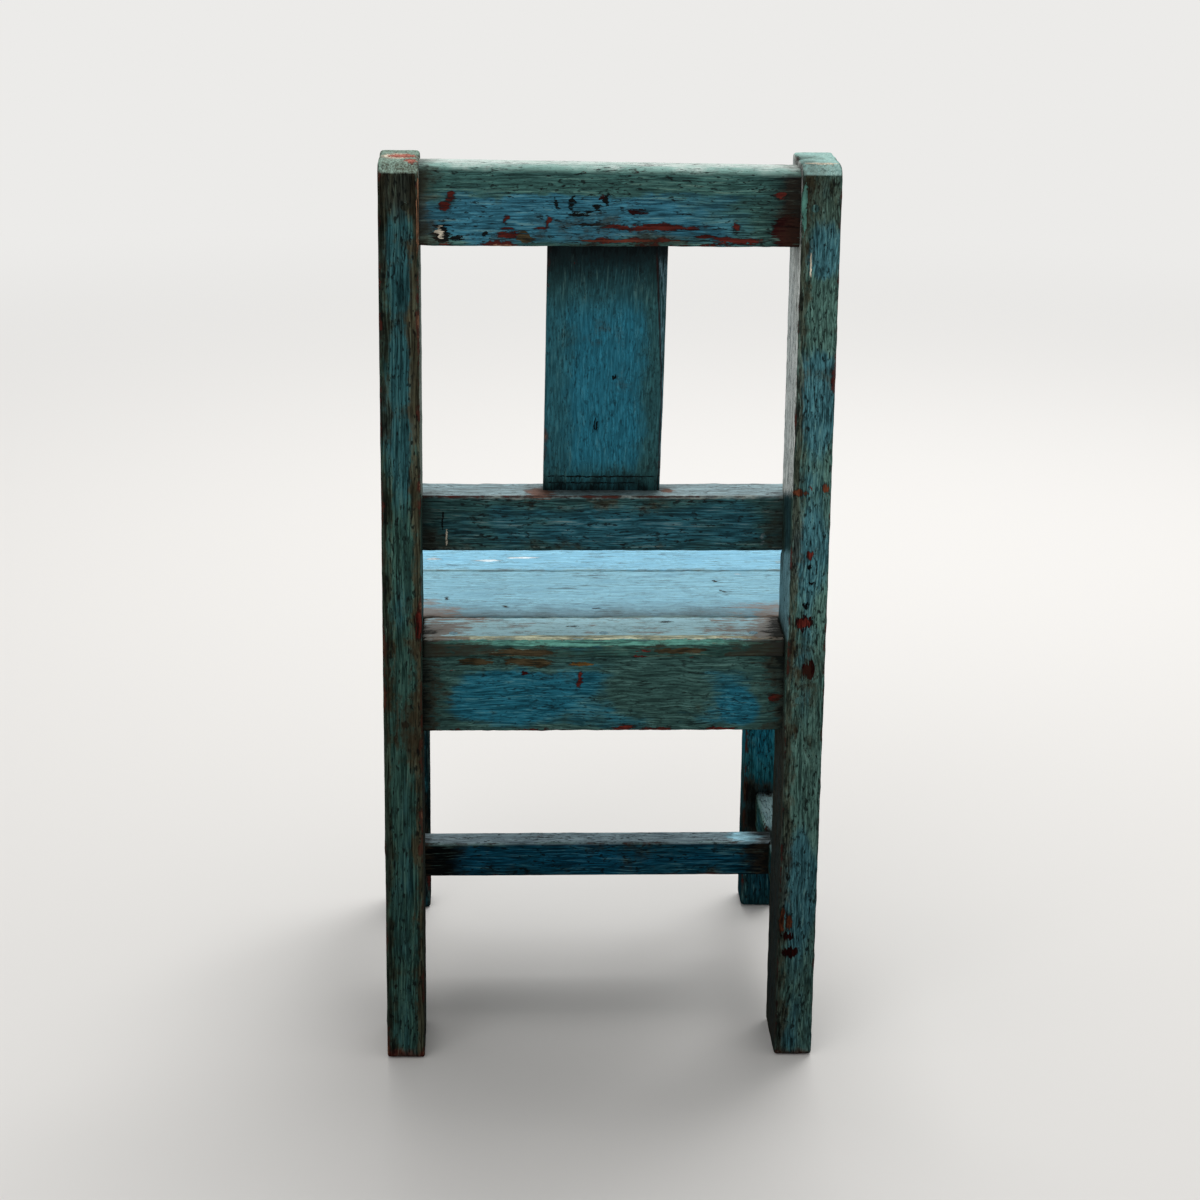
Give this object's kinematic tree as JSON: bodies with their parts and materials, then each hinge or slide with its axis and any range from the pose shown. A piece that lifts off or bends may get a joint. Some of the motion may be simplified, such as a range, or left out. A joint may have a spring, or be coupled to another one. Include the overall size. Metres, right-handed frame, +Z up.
{
  "type": "child's chair",
  "caption": "Small painted wooden chair with plank posts, a leaning splat between two back rails, a boarded seat and an H of stretchers, for a young child to sit on.",
  "frame": {"origin": "on the floor, under the middle of the chair's bounding box", "axes": "+Z up, -Y the way the sitter faces, +X to the sitter's left"},
  "size_m": [0.29, 0.296, 0.6095],
  "materials": {
    "post_paint": "worn teal paint over red",
    "back_paint": "worn deep blue paint over red",
    "seat_paint": "worn pale blue paint",
    "frame_paint": "worn blue-green paint",
    "peg_wood": "wooden peg, painted over",
    "nail_iron": "iron nail, painted over"
  },
  "bodies": {
    "root": {"back_post_left": "post_paint", "back_post_right": "post_paint", "front_leg_left": "frame_paint", "front_leg_right": "frame_paint", "crest_rail": "back_paint", "lower_back_rail": "back_paint", "back_splat": "back_paint", "rear_seat_rail": "frame_paint", "front_seat_rail": "frame_paint", "side_seat_rail_left": "frame_paint", "side_seat_rail_right": "frame_paint", "seat_board_rear": "seat_paint", "seat_board_middle": "seat_paint", "seat_board_front": "seat_paint", "side_stretcher_left": "frame_paint", "side_stretcher_right": "frame_paint", "cross_stretcher": "frame_paint", "crest_rail_pegs": "peg_wood", "rear_seat_rail_pegs": "peg_wood", "front_seat_rail_pegs": "peg_wood", "side_seat_rail_pegs": "peg_wood", "stretcher_pegs": "peg_wood", "seat_board_nails": "nail_iron", "lower_back_rail_nails": "nail_iron"}
  },
  "joints": []
}
